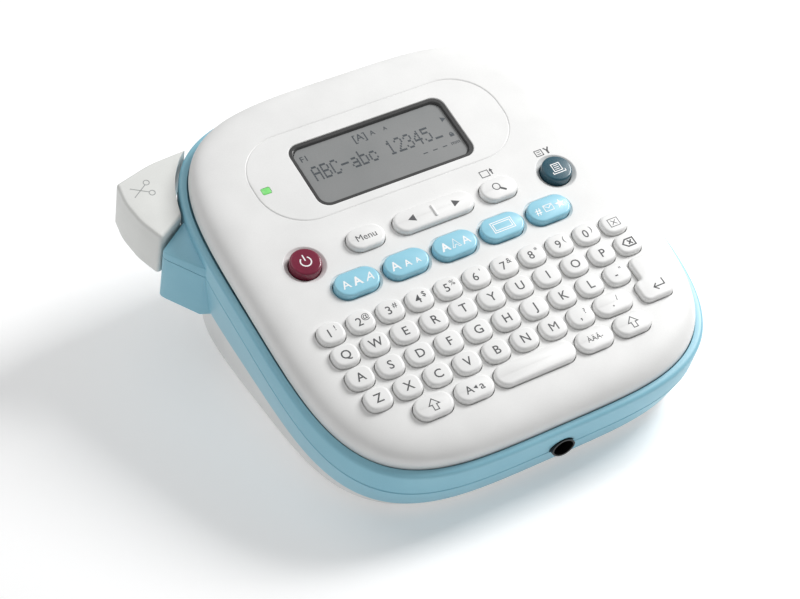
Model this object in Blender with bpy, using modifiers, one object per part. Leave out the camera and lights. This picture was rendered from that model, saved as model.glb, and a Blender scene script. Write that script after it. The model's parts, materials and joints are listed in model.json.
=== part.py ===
"""Desktop label maker: a wedge-shaped body with a sloping key panel, a tape cutter and a cassette bay.

Metres, +Z up.  The front faces -Y.  The body leans on two empties: body_frame stands on the table,
and panel_frame lies in the flat of the sloping top, with its own X to the right, Y up the slope and
Z out of the panel.  Sizes below are millimetres and are turned into metres by MM.
"""
import math

import bmesh
import bpy
from mathutils import Matrix, Vector

MM = 0.001
GAP = 0.3                      # clearance kept between neighbouring solids

# --- driving dimensions -----------------------------------------------------------------------
TILT = math.radians(16.3)      # slope of the key panel
BASE_TILT = math.radians(10.1)  # slope of the joint between the blue case and the white back cover
BODY_X, BODY_Y = 6.6, -3.4     # centre of the body, so that the bounding box is centred on the origin
PANEL_Z = 48.7                 # height of the panel's middle above the table
CASE_A, CASE_B = 71.2, 76.4    # half width and half length of the blue case
PANEL_A, PANEL_B = 68.6, 73.6  # half width and half length of the white top
COVER_WALL = 1.8
SEAM_W = -16.15                # level of the joint between the two blue halves, below the panel
LEVER_OUT = 84.4               # how far the cutter lever reaches to the left
LEVER_TOP, LEVER_FOOT = -8.6, -28.4
FIN_OUT, FIN_FOOT = 79.6, -36.9  # how far the guard reaches to the left, and its underside
FOOT_H = 1.2

KEY_PITCH, ROW_PITCH = 10.4, 8.75
FIRST_KEY = (-52.0, -19.9)     # centre of the key at the left end of the top row
KEY_W, KEY_H = 8.8, 7.7
KEY_TOP, KEY_FOOT = 1.8, -4.4  # a key's top and its underside, measured from the panel
HOLE_GAP = 0.4                 # gap round a key in its hole
ROUND_R = 5.1                  # power and print buttons
FUNCTION_PITCH = 17.75
KEY_CHAMFER = 0.7
ROCKER_AT = (0.3, 7.6)         # middle of the cursor key, which rocks about the slope's own Y

TAPE_V = 39.6                  # plane in which the label tape leaves the cassette
CELL_R, CELL_L = 5.2, 44.5     # AAA cell
GEAR_MODULE = 0.8
PINION_TEETH, IDLER_TEETH, PLATEN_TEETH = 12, 26, 20
PLATEN_U, PLATEN_R = -50.0, 4.0
GEAR_TOP, GEAR_FOOT = -17.0, -19.6

DISPLAY_AT, DISPLAY_SIZE = (-2.1, 36.8), (58.2, 26.3)
LED_AT, LED_SIZE = (-44.5, 36.8), (3.6, 3.0)
INLET_AT = (-68.9, 12.8)       # y and z of the power inlet's mouth, in the body's frame
LATCH_Y = 73.6
CASSETTE_AT, CASSETTE_SIZE = (-8.0, 22.0), (70.0, 38.0)
CASSETTE_TOP, CASSETTE_FOOT = -21.0, -37.6
SPOOLS = {"tape_spool": ((-15.5, 0.0), 16.4), "ribbon_spool": ((16.5, 3.0), 11.0)}
PIN_R = 1.5
PIN_AT = (47.2, -20.4)         # the lever's axis, along X, in the panel's frame
BLADE_U = -61.4

OUTLINE_POINTS = 48


# --- outlines ---------------------------------------------------------------------------------
def squircle(a, b, power=4.0, count=OUTLINE_POINTS):
    """Points of the closed curve |x/a|^n + |y/b|^n = 1, anticlockwise."""
    points = []
    for step in range(count):
        angle = 2 * math.pi * (step + 0.5) / count
        x, y = math.cos(angle), math.sin(angle)
        points.append((a * math.copysign(abs(x) ** (2 / power), x),
                       b * math.copysign(abs(y) ** (2 / power), y)))
    return points


def pill(width, height, per_end=7):
    """A bar with round ends, anticlockwise."""
    radius = height / 2
    points = []
    for side in (1, -1):
        for step in range(per_end):
            angle = -math.pi / 2 + math.pi * step / (per_end - 1)
            points.append((side * (width / 2 - radius + radius * math.cos(angle)),
                           side * radius * math.sin(angle)))
    return points


def circle(radius, count=16):
    return squircle(radius, radius, 2.0, count)


def rectangle(width, height):
    x, y = width / 2, height / 2
    return [(-x, -y), (x, -y), (x, y), (-x, y)]


def enter_outline(grow=0.0):
    """The L-shaped key: a narrow upper leg over a wider foot, about the centre of the foot's right end."""
    g = grow
    return [(-7.4 - g, -1.6), (-5.4, -4.0 - g), (2.2, -4.0 - g), (4.3 + g, -1.8), (4.3 + g, 10.0),
            (2.6, 12.4 + g), (-2.2, 12.4 + g), (-4.2 - g, 10.2), (-4.2 - g, 4.0 + g), (-5.6, 4.0 + g),
            (-7.4 - g, 1.8)]


def section(a, b, y=0.0, z=0.0, tilt=0.0, power=4.0):
    """A squircle in space: b is measured along the slope, and y, z is its centre."""
    rise, run = math.sin(tilt), math.cos(tilt)
    return [Vector((px, y + py * run, z + py * rise)) for px, py in squircle(a, b, power)]


def panel_section(a, b, w, slope=0.0, power=4.0):
    """A squircle in the panel's frame, w above it, sinking towards the back by slope."""
    return [Vector((px, py, w - slope * py)) for px, py in squircle(a, b, power)]


def panel_to_body(points):
    """From the panel's frame to the body's."""
    turn = Matrix.Rotation(TILT, 3, 'X')
    return [turn @ p + Vector((0, 0, PANEL_Z)) for p in points]


# --- mesh and object helpers ------------------------------------------------------------------
def collection(name):
    made = bpy.data.collections.new(name)
    bpy.context.scene.collection.children.link(made)
    return made


def material(name, colour, roughness, metallic=0.0, alpha=1.0):
    made = bpy.data.materials.new(name)
    made.use_nodes = True
    shader = made.node_tree.nodes["Principled BSDF"]
    shader.inputs["Base Color"].default_value = (*colour, 1.0)
    shader.inputs["Roughness"].default_value = roughness
    shader.inputs["Metallic"].default_value = metallic
    shader.inputs["Alpha"].default_value = alpha
    return made


def add_object(name, bm, parent, mat=None, at=(0, 0, 0), where=None):
    """Turn a bmesh in millimetres into an object in metres, parented to a frame."""
    bmesh.ops.recalc_face_normals(bm, faces=bm.faces)
    bmesh.ops.scale(bm, vec=(MM, MM, MM), verts=bm.verts)
    mesh = bpy.data.meshes.new(name)
    bm.to_mesh(mesh)
    bm.free()
    made = bpy.data.objects.new(name, mesh)
    made.parent = parent
    made.location = Vector(at) * MM
    if mat:
        mesh.materials.append(mat)
        mesh.shade_smooth()
        mesh.set_sharp_from_angle(angle=math.radians(35))
    (where or PARTS).objects.link(made)
    return made


def loft(rings, caps=True, loop=False, bm=None):
    """Join rings of points with quads; cap the two ends, or close the rings into a loop."""
    bm = bm or bmesh.new()
    rows = [[bm.verts.new(p) for p in ring] for ring in rings]
    pairs = list(zip(rows, rows[1:]))
    if loop:
        pairs.append((rows[-1], rows[0]))
    count = len(rows[0])
    for low, high in pairs:
        for i in range(count):
            j = (i + 1) % count
            bm.faces.new((low[i], low[j], high[j], high[i]))
    if caps and not loop:
        bm.faces.new(rows[0][::-1])
        bm.faces.new(rows[-1])
    return bm


def prism(outline, low, high, bm=None, at=(0, 0)):
    """An outline extruded along Z from low to high."""
    rings = [[Vector((x + at[0], y + at[1], z)) for x, y in outline] for z in (low, high)]
    return loft(rings, bm=bm)


def box(size, at, bm=None):
    """A box from Blender's cube, with its centre at a point."""
    bm = bm or bmesh.new()
    bmesh.ops.create_cube(bm, size=1.0, matrix=Matrix.Translation(at) @ Matrix.Diagonal((*size, 1)))
    return bm


def cylinder(radius, length, at, axis='Z', segments=16, bm=None):
    """A cylinder centred at a point, along one of the frame's axes."""
    bm = bm or bmesh.new()
    turn = {'X': Matrix.Rotation(math.pi / 2, 4, 'Y'), 'Y': Matrix.Rotation(math.pi / 2, 4, 'X'),
            'Z': Matrix.Identity(4)}[axis]
    bmesh.ops.create_cone(bm, cap_ends=True, segments=segments, radius1=radius, radius2=radius,
                          depth=length, matrix=Matrix.Translation(at) @ turn)
    return bm


def cutter(name, bm, parent, at=(0, 0, 0)):
    made = add_object(name, bm, parent, at=at, where=CUTTERS)
    made.hide_render = True
    made.display_type = 'WIRE'
    return made


def boolean(target, tool, operation='DIFFERENCE'):
    modifier = target.modifiers.new(operation.title() + "_" + tool.name, 'BOOLEAN')
    modifier.object = tool
    modifier.operation = operation
    modifier.solver = 'EXACT'


def bevel(target, width, segments=2, angle=40):
    modifier = target.modifiers.new("Bevel", 'BEVEL')
    modifier.width = width * MM
    modifier.segments = segments
    modifier.limit_method = 'ANGLE'
    modifier.angle_limit = math.radians(angle)


def empty(name, location, parent=None, tilt=0.0):
    made = bpy.data.objects.new(name, None)
    made.location = Vector(location) * MM
    made.rotation_euler = (tilt, 0, 0)
    made.parent = parent
    PARTS.objects.link(made)
    return made


# --- the keys: names, outlines and centres -------------------------------------------------------
def key_row(row, count, shift=0.0):
    """Centres of one row of letter keys."""
    return [(FIRST_KEY[0] + shift + KEY_PITCH * i, FIRST_KEY[1] - ROW_PITCH * row) for i in range(count)]


def small_key(grow):
    return squircle(KEY_W / 2 + grow, KEY_H / 2 + grow, 2.6, 12)


def round_button(grow):
    return circle(ROUND_R + grow)


def bar_key(width, height):
    """The outline of a bar with round ends, as a function of how far it is grown."""
    def outline(grow):
        return pill(width + 2 * grow, height + 2 * grow, 6)
    return outline


def letter_rows():
    """The four rows whose keys share one strip: name, then the outline and centre of each key."""
    bottom = [(small_key, centre) for centre in key_row(3, 8, shift=1.7)]
    bottom.append((bar_key(13.6, KEY_H), (FIRST_KEY[0] + 86.7, FIRST_KEY[1] - 3 * ROW_PITCH)))
    return {
        "digit_keys": [(small_key, centre) for centre in key_row(0, 10)],
        "upper_letter_keys": [(small_key, centre) for centre in key_row(1, 10, shift=0.2)],
        "middle_letter_keys": [(small_key, centre) for centre in key_row(2, 10, shift=0.4)],
        "lower_letter_keys": bottom,
    }


def single_keys():
    """The keys that move on their own: name, outline, centre, material name."""
    last = FIRST_KEY[0] + 10 * KEY_PITCH
    bottom = FIRST_KEY[1] - 4 * ROW_PITCH - 0.2
    keys = [
        ("power_button", round_button, (-46.7, 6.5), "maroon"),
        ("print_button", round_button, (46.7, 6.5), "petrol"),
        ("menu_key", bar_key(13.0, 8.4), (-24.6, 7.6), "white"),
        ("preview_key", bar_key(13.0, 8.4), (24.6, 7.3), "white"),
        ("cancel_key", small_key, (last, FIRST_KEY[1]), "white"),
        ("backspace_key", small_key, (last, FIRST_KEY[1] - ROW_PITCH), "white"),
        ("enter_key", enter_outline, (last, FIRST_KEY[1] - 3 * ROW_PITCH - 0.4), "white"),
        ("left_shift_key", bar_key(13.0, KEY_H), (-36.2, bottom), "white"),
        ("caps_key", bar_key(13.0, KEY_H), (-21.9, bottom), "white"),
        ("space_bar", bar_key(28.6, KEY_H), (0.0, bottom), "white"),
        ("accent_key", bar_key(13.0, KEY_H), (21.9, bottom), "white"),
        ("right_shift_key", bar_key(13.0, KEY_H), (36.2, bottom), "white"),
    ]
    for i, name in enumerate(("font_key", "text_size_key", "text_style_key", "frame_key", "symbol_key")):
        keys.append((name, bar_key(15.2, 8.6), (FUNCTION_PITCH * (i - 2), -6.3), "blue"))
    return keys


def key_cap(outline, foot, bm=None, at=(0, 0)):
    """A key with a chamfer round its top."""
    levels = ((0, foot), (0, KEY_TOP - KEY_CHAMFER), (-KEY_CHAMFER, KEY_TOP))
    rings = [[Vector((x + at[0], y + at[1], z)) for x, y in outline(grow)] for grow, z in levels]
    return loft(rings, bm=bm)


rocker_outline = bar_key(29.0, 8.4)


def add_keys(panel, mats):
    for name, outline, centre, colour in single_keys():
        add_object(name, key_cap(outline, KEY_FOOT), panel, mats[colour], at=(*centre, 0))
    rocker = key_cap(rocker_outline, KEY_FOOT + 0.6)
    add_object("cursor_key", rocker, panel, mats["white"], at=(*ROCKER_AT, 0))
    for name, keys in letter_rows().items():
        # a strip under the panel carries the caps of its row
        left, right = keys[0][1][0], keys[-1][1][0]
        middle = ((left + right) / 2, keys[0][1][1])
        bar = box((right - left + 6.0, 4.0, 1.6), (0, 0, KEY_FOOT + 0.8))
        strip = add_object(name, bar, panel, mats["white"], at=(*middle, 0))
        caps = bmesh.new()
        for outline, centre in keys:
            key_cap(outline, KEY_FOOT + 0.4, caps, (centre[0] - middle[0], centre[1] - middle[1]))
        boolean(strip, cutter(name + "_caps", caps, panel, at=(*middle, 0)), 'UNION')


# --- the case -------------------------------------------------------------------------------------
def add_top_cover(panel, mats):
    rings = [panel_section(PANEL_A - inset, PANEL_B - inset, w)
             for inset, w in ((0.0, -7.2), (0.3, -4.2), (1.7, -1.9), (4.4, -0.6), (9.0, 0.0))]
    shell = loft(rings, caps=False)
    shell.verts.ensure_lookup_table()
    shell.faces.new(shell.verts[-OUTLINE_POINTS:])
    cover = add_object("top_cover", shell, panel, mats["white"])
    thick = cover.modifiers.new("Solidify", 'SOLIDIFY')
    thick.thickness = COVER_WALL * MM
    thick.offset = -1
    holes = bmesh.new()
    reach = (-6.0, 4.0)
    for keys in letter_rows().values():
        for outline, centre in keys:
            prism(outline(HOLE_GAP), *reach, holes, centre)
    for _, outline, centre, _ in single_keys():
        prism(outline(HOLE_GAP), *reach, holes, centre)
    prism(rocker_outline(HOLE_GAP), *reach, holes, ROCKER_AT)
    prism(rectangle(*DISPLAY_SIZE), *reach, holes, DISPLAY_AT)
    prism(rectangle(*LED_SIZE), *reach, holes, LED_AT)
    boolean(cover, cutter("panel_holes", holes, panel))


def fin_outline():
    """Plan of the guard beside the tape exit: a wedge whose back runs in line with the front of the lever."""
    return [(-68.2, 24.0), (-71.0, 24.6), (-FIN_OUT, 36.0), (-FIN_OUT, 37.3), (-71.0, 42.3), (-68.2, 42.3)]


def fin_top(x, y):
    """Height of the guard's roof, which rises towards the case and to the back."""
    return -11.9 + 0.12 * (x + 71.0) + 0.074 * (y - 42.9)


def inlet_cutter(body):
    """The eye-shaped mouth in front of the power inlet, level with the table."""
    y, z = INLET_AT
    rings = [[Vector((px, y + dy, z + pz)) for px, pz in squircle(5.2, 4.0, 1.8, 16)] for dy in (-8.0, 6.0)]
    return cutter("inlet_mouth", loft(rings), body)


def add_upper_case(panel, mats, mouth):
    sink = 0.02
    rings = [
        panel_section(CASE_A, CASE_B, SEAM_W + GAP / 2),
        panel_section(CASE_A, CASE_B, -9.6, sink),
        panel_section(CASE_A - 0.8, CASE_B - 0.8, -8.2, sink),
        panel_section(CASE_A - 1.6, CASE_B - 1.6, -8.0, sink),
        panel_section(CASE_A - 2.0, CASE_B - 2.0, -9.8, sink),
        panel_section(PANEL_A - 0.3, PANEL_B - 0.3, -9.8, sink),
        panel_section(PANEL_A - 0.3, PANEL_B - 0.3, -7.2 - GAP),
        panel_section(PANEL_A - 2.3, PANEL_B - 2.3, -7.2 - GAP),
        panel_section(PANEL_A - 2.3, PANEL_B - 2.3, -11.8, sink),
        panel_section(CASE_A - 2.0, CASE_B - 2.0, -13.4, sink),
        panel_section(CASE_A - 2.0, CASE_B - 2.0, SEAM_W + GAP / 2),
    ]
    case = add_object("upper_case", loft(rings, loop=True), panel, mats["blue"])
    low = [Vector((x, y, SEAM_W + GAP / 2)) for x, y in fin_outline()]
    high = [Vector((x, y, fin_top(x, y))) for x, y in fin_outline()]
    boolean(case, cutter("upper_fin", loft([low, high]), panel), 'UNION')
    boolean(case, mouth)


def add_lower_case(body, panel, mats, mouth):
    seam = SEAM_W - GAP / 2
    foot = dict(y=5.9, z=16.3, tilt=BASE_TILT)
    rings = [
        panel_to_body(panel_section(CASE_A, CASE_B, seam)),
        section(CASE_A - 2.2, CASE_B - 4.0, power=3.9, **foot),
        section(CASE_A - 4.2, CASE_B - 6.0, power=3.9, **foot),
        panel_to_body(panel_section(CASE_A - 2.0, CASE_B - 2.0, seam)),
    ]
    case = add_object("lower_case", loft(rings, loop=True), body, mats["blue"])
    low = [Vector((x, y, FIN_FOOT)) for x, y in fin_outline()]
    high = [Vector((x, y, seam)) for x, y in fin_outline()]
    boolean(case, cutter("lower_fin", loft([low, high]), panel), 'UNION')
    slots = box((14.0, 3.0, 14.2), (-72.0, TAPE_V + 0.1, -29.0))
    cylinder(PIN_R + GAP, 16.0, (-70.0, *PIN_AT), 'X', 12, slots)
    boolean(case, cutter("tape_slot", slots, panel))
    boolean(case, mouth)


def add_back_cover(body, mats):
    foot = dict(y=5.9, z=16.3 - GAP, tilt=BASE_TILT)
    floor = dict(y=5.6)
    rings = [
        section(64.8, 67.0, z=3.1, power=3.9, **floor),
        section(CASE_A - 5.0, CASE_B - 7.1, power=3.9, **foot),
        section(CASE_A - 3.1, CASE_B - 5.2, power=3.9, **foot),
        section(66.8, 69.0, z=2.3, power=3.9, **floor),
        section(66.0, 68.2, z=FOOT_H + GAP, power=3.9, **floor),
    ]
    cover = add_object("back_cover", loft(rings), body, mats["white"])
    notch = box((16.8, 9.0, 8.8), (0, 75.0, 22.6))
    boolean(cover, cutter("latch_notch", notch, body))
    add_object("cover_latch", box((16.0, 2.0, 8.0), (0, 0, 0)), body, mats["white"], at=(0, LATCH_Y, 22.4))
    for side in (-1, 1):
        for end in (-1, 1):
            name = "foot_%s_%s" % ("front" if end < 0 else "back", "left" if side < 0 else "right")
            at = (side * 48.0, 5.6 + end * 52.0, FOOT_H / 2)
            add_object(name, cylinder(5.0, FOOT_H, (0, 0, 0), segments=12), body, mats["rubber"], at=at)


# --- display ----------------------------------------------------------------------------------------
def add_display(panel, mats):
    width, height = DISPLAY_SIZE[0] - 2 * GAP, DISPLAY_SIZE[1] - 2 * GAP
    add_object("display_window", box((width, height, 1.4), (0, 0, 0)), panel, mats["lens"],
               at=(*DISPLAY_AT, -1.3))
    add_object("display_module", box((66.0, 34.0, 4.0), (0, 0, 0)), panel, mats["lcd"],
               at=(*DISPLAY_AT, -4.6))
    light = box((LED_SIZE[0] - 2 * GAP, LED_SIZE[1] - 2 * GAP, 4.0), (0, 0, 0))
    add_object("status_light", light, panel, mats["green"], at=(*LED_AT, -1.85))


# --- electronics and frame ---------------------------------------------------------------------------
def add_electronics(body, panel, mats, mouth):
    sheet = prism(squircle(57.5, 36.5, 5.0, 24), -6.9, -5.9)
    add_object("keypad_sheet", sheet, panel, mats["silicone"], at=(0, -24.6, 0))
    laminate = prism(squircle(61.0, 65.0, 6.0, 24), -8.8, -7.2)
    board = add_object("main_board", laminate, panel, mats["board"])
    inlet = cylinder(3.2, 8.6, (0, -3.2, 0), 'Y', 16)
    y, z = INLET_AT
    at = (0, y + 11.6, z + 0.2)
    jack = add_object("dc_jack", box((11.0, 11.0, 9.0), (0, 0, 0)), body, mats["black"], at=at)
    boolean(jack, cutter("inlet_bore", inlet, body, at=at))
    room = box((13.0, 22.0, 12.0), (0, y + 8.0, z + 0.6))
    return board, cutter("inlet_room", room, body)


def add_chassis(panel, mats, room):
    outline = squircle(CASE_A - 3.2, CASE_B - 3.2, 4.0, 32)
    plate = add_object("chassis", prism(outline, -16.3, -14.6), panel, mats["frame"])
    boolean(plate, room)
    # ribs that part the battery bay, and the idler's axle
    fittings = box((1.6, 32.0, 11.0), (0, -39.5, -21.6))
    box((100.0, 1.6, 12.0), (0, -22.6, -22.1), fittings)
    boolean(plate, cutter("bay_ribs", fittings, panel), 'UNION')
    axle = cylinder(1.5, 6.0, (*IDLER_AT, -18.0), 'Z', 12)
    boolean(plate, cutter("idler_axle", axle, panel), 'UNION')


def add_batteries(panel, mats):
    number = 0
    for side in (-1, 1):
        for row in range(3):
            number += 1
            at = (side * (1.6 + CELL_L / 2), -52.0 + 11.0 * row, -22.2)
            cell = cylinder(CELL_R, CELL_L, (0, 0, 0), 'X', 16)
            add_object("battery_%d" % number, cell, panel, mats["cell"], at=at)
        name = "battery_contact_%s" % ("left" if side < 0 else "right")
        at = (side * 46.8, -41.0, -22.2)
        add_object(name, box((0.6, 32.0, 8.0), (0, 0, 0)), panel, mats["steel"], at=at)


# --- cassette, print head and gears ---------------------------------------------------------------------
def gear_outline(teeth, phase=0.0):
    """Straight-sided teeth with backlash, so that meshing gears clear each other."""
    pitch_r = GEAR_MODULE * teeth / 2
    root, tip = pitch_r - 1.15 * GEAR_MODULE, pitch_r + 0.8 * GEAR_MODULE
    step = 2 * math.pi / teeth
    points = []
    for tooth in range(teeth):
        centre = phase + tooth * step
        for radius, part in ((root, -0.32), (tip, -0.13), (tip, 0.13), (root, 0.32)):
            angle = centre + part * step
            points.append((radius * math.cos(angle), radius * math.sin(angle)))
    return points


def mesh_centre(at, own, other, angle):
    """Where a gear of `other` teeth sits to mesh with one of `own` teeth at `at`, in a direction."""
    spacing = GEAR_MODULE * (own + other) / 2 + 0.1
    return (at[0] + spacing * math.cos(angle), at[1] + spacing * math.sin(angle))


PLATEN_AT = (PLATEN_U, TAPE_V + PLATEN_R)
IDLER_ANGLE, PINION_ANGLE = math.radians(35), math.radians(-20)
IDLER_AT = mesh_centre(PLATEN_AT, PLATEN_TEETH, IDLER_TEETH, IDLER_ANGLE)
PINION_AT = mesh_centre(IDLER_AT, IDLER_TEETH, PINION_TEETH, PINION_ANGLE)


def meshed_phase(own_phase, own, other, angle):
    """Phase of a gear whose gap faces the tooth of its neighbour across the line of centres."""
    offset = (angle - own_phase) * own / (2 * math.pi)
    return angle + math.pi - (0.5 - offset) * 2 * math.pi / other


def add_gears(panel, mats):
    idler_phase = meshed_phase(0.0, PLATEN_TEETH, IDLER_TEETH, IDLER_ANGLE)
    pinion_phase = meshed_phase(idler_phase, IDLER_TEETH, PINION_TEETH, PINION_ANGLE)
    width = (GEAR_FOOT, GEAR_TOP)
    at = (*PLATEN_AT, 0)
    wheel = prism(gear_outline(PLATEN_TEETH), *width)
    platen_gear = add_object("platen_gear", wheel, panel, mats["nylon"], at=at)
    shaft = cylinder(1.4, 20.0, (0, 0, -28.6), 'Z', 12)
    boolean(platen_gear, cutter("platen_shaft", shaft, panel, at=at), 'UNION')
    tyre = cylinder(PLATEN_R, 13.6, (0, 0, -29.0), 'Z', 20)
    roller = add_object("platen_roller", tyre, panel, mats["rubber"], at=at)
    bore = cylinder(1.7, 20.0, (0, 0, -29.0), 'Z', 12)
    boolean(roller, cutter("roller_bore", bore, panel, at=at))
    at = (*IDLER_AT, 0)
    wheel = prism(gear_outline(IDLER_TEETH, idler_phase), *width)
    idler = add_object("idler_gear", wheel, panel, mats["nylon"], at=at)
    bore = cylinder(1.8, 6.0, (0, 0, -18.3), 'Z', 12)
    boolean(idler, cutter("idler_bore", bore, panel, at=at))
    wheel = prism(gear_outline(PINION_TEETH, pinion_phase), *width)
    add_object("motor_pinion", wheel, panel, mats["brass"], at=(*PINION_AT, 0))


def add_cassette(panel, mats):
    length, depth = CASSETTE_SIZE
    outer = prism(rectangle(length, depth), CASSETTE_FOOT, CASSETTE_TOP)
    case = add_object("cassette_case", outer, panel, mats["grey"], at=(*CASSETTE_AT, 0))
    inner = prism(rectangle(length - 3.0, depth - 3.0), CASSETTE_FOOT - 1, CASSETTE_TOP - 1.4)
    boolean(case, cutter("cassette_room", inner, panel, at=(*CASSETTE_AT, 0)))
    posts = bmesh.new()
    for centre, _ in SPOOLS.values():
        cylinder(3.0, 14.0, (*centre, CASSETTE_TOP - 7.6), 'Z', 12, posts)
    boolean(case, cutter("spool_posts", posts, panel, at=(*CASSETTE_AT, 0)), 'UNION')
    at = (*CASSETTE_AT, CASSETTE_FOOT - GAP)
    lid = add_object("cassette_lid", prism(rectangle(length, depth), -1.2, 0.0), panel, mats["grey"], at=at)
    window = prism(rectangle(9.0, 5.0), -3.0, 1.0, at=(-15.5, 9.0))
    boolean(lid, cutter("cassette_window", window, panel, at=at))
    for name, (centre, radius) in SPOOLS.items():
        at = (CASSETTE_AT[0] + centre[0], CASSETTE_AT[1] + centre[1], -29.6)
        spool = add_object(name, cylinder(radius, 12.4, (0, 0, 0), 'Z', 24), panel, mats["tape"], at=at)
        bore = cylinder(3.4, 20.0, (0, 0, 0), 'Z', 12)
        boolean(spool, cutter(name + "_bore", bore, panel, at=at))


def add_print_unit(panel, mats):
    # the heater plate stands below the platen gear, on a bracket that passes in front of the gear
    at = (PLATEN_U, TAPE_V - 1.6, 0)
    head = add_object("print_head", box((13.0, 2.0, 16.0), (0, 0, -28.4)), panel, mats["aluminium"], at=at)
    bracket = box((11.0, 7.0, 1.6), (0, -4.1, -22.0))
    step = box((11.0, 1.6, 5.0), (0, -6.6, -19.1))
    boolean(head, cutter("head_shelf", bracket, panel, at=at), 'UNION')
    boolean(head, cutter("head_step", step, panel, at=at), 'UNION')
    body = cylinder(7.5, 16.0, (0, 0, 0), 'Z', 20)
    add_object("feed_motor", body, panel, mats["steel"], at=(*PINION_AT, GEAR_FOOT - GAP - 8.0))


# --- tape cutter ------------------------------------------------------------------------------------------
def add_cutter_lever(panel, mats):
    outline = [(-62.0, 49.3), (-79.9, 38.9), (-83.0, 47.0), (-LEVER_OUT, 55.0), (-84.3, 60.5), (-83.4, 64.0),
               (-70.0, 67.6), (-56.5, 71.5)]
    top = [Vector((x, y, LEVER_TOP)) for x, y in outline]
    foot = [Vector((x, y, LEVER_FOOT + 0.22 * (y - 38.9))) for x, y in outline]
    lever = add_object("cutter_lever", loft([foot, top]), panel, mats["pale"])
    bevel(lever, 1.2, 2, 35)
    clear = loft([panel_section(CASE_A + 0.9, CASE_B + 0.9, w) for w in (-40.0, 4.0)])
    boolean(lever, cutter("lever_clearance", clear, panel))
    hollow = box((8.0, 11.0, 12.0), (-77.4, 56.0, -26.0))
    cylinder(PIN_R + GAP, 40.0, (-61.0, *PIN_AT), 'X', 12, hollow)
    boolean(lever, cutter("lever_hollow", hollow, panel))
    pin = cylinder(PIN_R, 20.0, (0, 0, 0), 'X', 12)
    add_object("lever_pin", pin, panel, mats["steel"], at=(-69.6, *PIN_AT))
    blade = cylinder(3.6, 0.7, (0, 0, 0), 'X', 16)
    knife = add_object("cutter_blade", blade, panel, mats["steel"], at=(BLADE_U, *PIN_AT))
    profile = ((-3.2, 0.6), (-4.2, -15.0), (-1.0, -15.0), (3.0, -1.0))
    finger = loft([[Vector((x, y, z)) for y, z in profile] for x in (-0.35, 0.35)])
    boolean(knife, cutter("blade_finger", finger, panel, at=(BLADE_U, *PIN_AT)), 'UNION')
    bore = cylinder(PIN_R + GAP, 3.0, (0, 0, 0), 'X', 12)
    boolean(knife, cutter("blade_bore", bore, panel, at=(BLADE_U, *PIN_AT)))
    add_lever_spring(panel, mats)


def add_lever_spring(panel, mats):
    """A torsion coil round the pin, just inside the case."""
    turns, steps, radius = 2.2, 10, 2.2
    curve = bpy.data.curves.new("lever_spring", 'CURVE')
    curve.dimensions = '3D'
    curve.bevel_depth = 0.3 * MM
    curve.bevel_resolution = 1
    curve.use_fill_caps = True
    line = curve.splines.new('POLY')
    count = int(turns * steps) + 1
    line.points.add(count - 1)
    for i in range(count):
        angle = 2 * math.pi * i / steps
        point = Vector((0.9 * i / steps, radius * math.cos(angle), radius * math.sin(angle))) * MM
        line.points[i].co = (*point, 1)
    spring = bpy.data.objects.new("lever_spring", curve)
    spring.parent = panel
    spring.location = Vector((BLADE_U - 2.9, *PIN_AT)) * MM
    curve.materials.append(mats["steel"])
    PARTS.objects.link(spring)


# --- build ----------------------------------------------------------------------------------------
def clear_scene():
    for item in list(bpy.data.objects):
        bpy.data.objects.remove(item, do_unlink=True)


def make_materials():
    return {
        "white": material("white_abs", (0.80, 0.80, 0.79), 0.42),
        "pale": material("pale_grey_abs", (0.68, 0.69, 0.66), 0.45),
        "blue": material("light_blue_abs", (0.24, 0.50, 0.60), 0.38),
        "maroon": material("maroon_abs", (0.20, 0.014, 0.042), 0.30),
        "petrol": material("petrol_abs", (0.028, 0.09, 0.125), 0.32),
        "rubber": material("dark_rubber", (0.03, 0.03, 0.03), 0.8),
        "silicone": material("silicone", (0.55, 0.55, 0.54), 0.7),
        "lens": material("display_lens", (0.07, 0.07, 0.08), 0.1, alpha=0.6),
        "lcd": material("display_glass", (0.20, 0.20, 0.20), 0.3),
        "green": material("green_light_pipe", (0.20, 0.70, 0.20), 0.3),
        "board": material("board_laminate", (0.02, 0.16, 0.07), 0.5),
        "frame": material("frame_abs", (0.20, 0.21, 0.22), 0.55),
        "black": material("black_abs", (0.02, 0.02, 0.02), 0.5),
        "cell": material("battery_sleeve", (0.05, 0.08, 0.22), 0.3, 0.4),
        "steel": material("steel", (0.55, 0.55, 0.56), 0.3, 1.0),
        "aluminium": material("aluminium", (0.75, 0.76, 0.77), 0.35, 1.0),
        "brass": material("brass", (0.72, 0.52, 0.20), 0.3, 1.0),
        "nylon": material("nylon", (0.85, 0.84, 0.78), 0.5),
        "grey": material("cassette_plastic", (0.30, 0.31, 0.33), 0.45),
        "tape": material("tape_film", (0.85, 0.86, 0.84), 0.4),
    }


clear_scene()
PARTS = collection("label_maker")
CUTTERS = collection("cutters")
MATS = make_materials()
BODY = empty("body_frame", (BODY_X, BODY_Y, 0))
PANEL = empty("panel_frame", (0, 0, PANEL_Z), BODY, TILT)
MOUTH = inlet_cutter(BODY)

add_top_cover(PANEL, MATS)
add_upper_case(PANEL, MATS, MOUTH)
add_lower_case(BODY, PANEL, MATS, MOUTH)
add_back_cover(BODY, MATS)
add_display(PANEL, MATS)
add_keys(PANEL, MATS)
BOARD, ROOM = add_electronics(BODY, PANEL, MATS, MOUTH)
boolean(BOARD, ROOM)
add_chassis(PANEL, MATS, ROOM)
add_batteries(PANEL, MATS)
add_gears(PANEL, MATS)
add_cassette(PANEL, MATS)
add_print_unit(PANEL, MATS)
add_cutter_lever(PANEL, MATS)
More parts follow.
